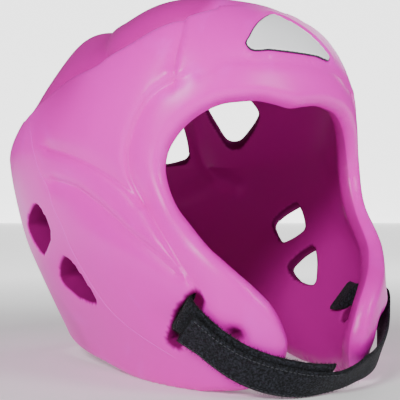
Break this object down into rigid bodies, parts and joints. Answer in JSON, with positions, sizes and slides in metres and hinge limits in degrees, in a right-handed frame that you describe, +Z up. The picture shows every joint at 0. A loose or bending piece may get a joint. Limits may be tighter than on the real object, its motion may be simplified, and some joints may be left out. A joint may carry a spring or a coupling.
{
  "type": "head guard",
  "caption": "Moulded foam head guard with open face, jaw pads, vents, a bare brow plate and a fastened chin strap.",
  "frame": {"origin": "on the floor, under the middle of the overall box", "axes": "+Z up, the face looks towards -Y, +X is the wearer's left"},
  "size_m": [0.218, 0.292, 0.2279],
  "materials": {
    "foam": "satin skin of dipped foam, pink",
    "plate": "glossy white, bare",
    "strap": "matt woven webbing with hook and loop, charcoal"
  },
  "bodies": {
    "root": {"shell": "foam", "forehead_label": "plate", "strap_inner": "strap", "strap_outer": "strap"}
  },
  "joints": []
}
